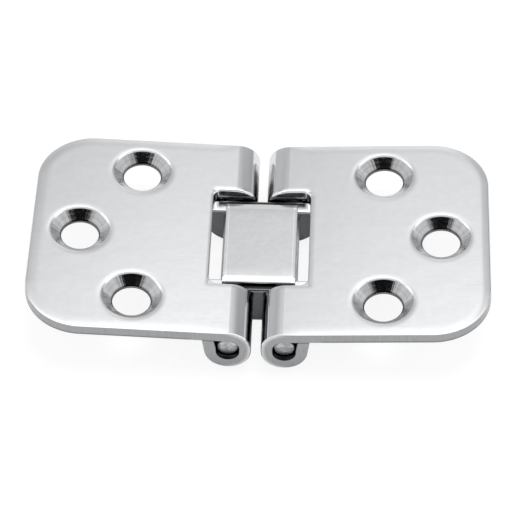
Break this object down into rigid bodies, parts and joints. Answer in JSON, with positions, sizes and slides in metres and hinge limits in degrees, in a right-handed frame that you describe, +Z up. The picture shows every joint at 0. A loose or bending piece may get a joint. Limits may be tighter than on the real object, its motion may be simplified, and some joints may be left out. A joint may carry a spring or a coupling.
{
  "type": "table hinge",
  "caption": "Polished steel table hinge: flat leaves with countersunk holes fold upward on separate pins held by a capped centre link.",
  "frame": {"origin": "middle of the hinge at the height of the link's lowest point, which is what the hinge stands on", "axes": "+X across the hinge from the left leaf to the right leaf, +Y along the pins to the back, +Z up towards the side that the leaves fold to"},
  "size_m": [0.0798, 0.0446, 0.0115],
  "materials": {
    "leaf_steel": "mirror-polished stainless steel",
    "pin_steel": "bright drawn stainless steel",
    "link_steel": "polished cast stainless steel"
  },
  "bodies": {
    "link": {"centre_link": "link_steel", "left_pin": "pin_steel", "right_pin": "pin_steel"},
    "left_leaf": {"left_leaf": "leaf_steel"},
    "right_leaf": {"right_leaf": "leaf_steel"}
  },
  "joints": [
    {"name": "left_hinge", "type": "hinge", "parent": "link", "child": "left_leaf", "pos_m": [-0.0048, 0, 0.0053], "axis": [0, 1, 0], "range_deg": [-2.5, 87.5]},
    {"name": "right_hinge", "type": "hinge", "parent": "link", "child": "right_leaf", "pos_m": [0.0048, 0, 0.0053], "axis": [0, -1, 0], "range_deg": [-2.5, 87.5]}
  ]
}
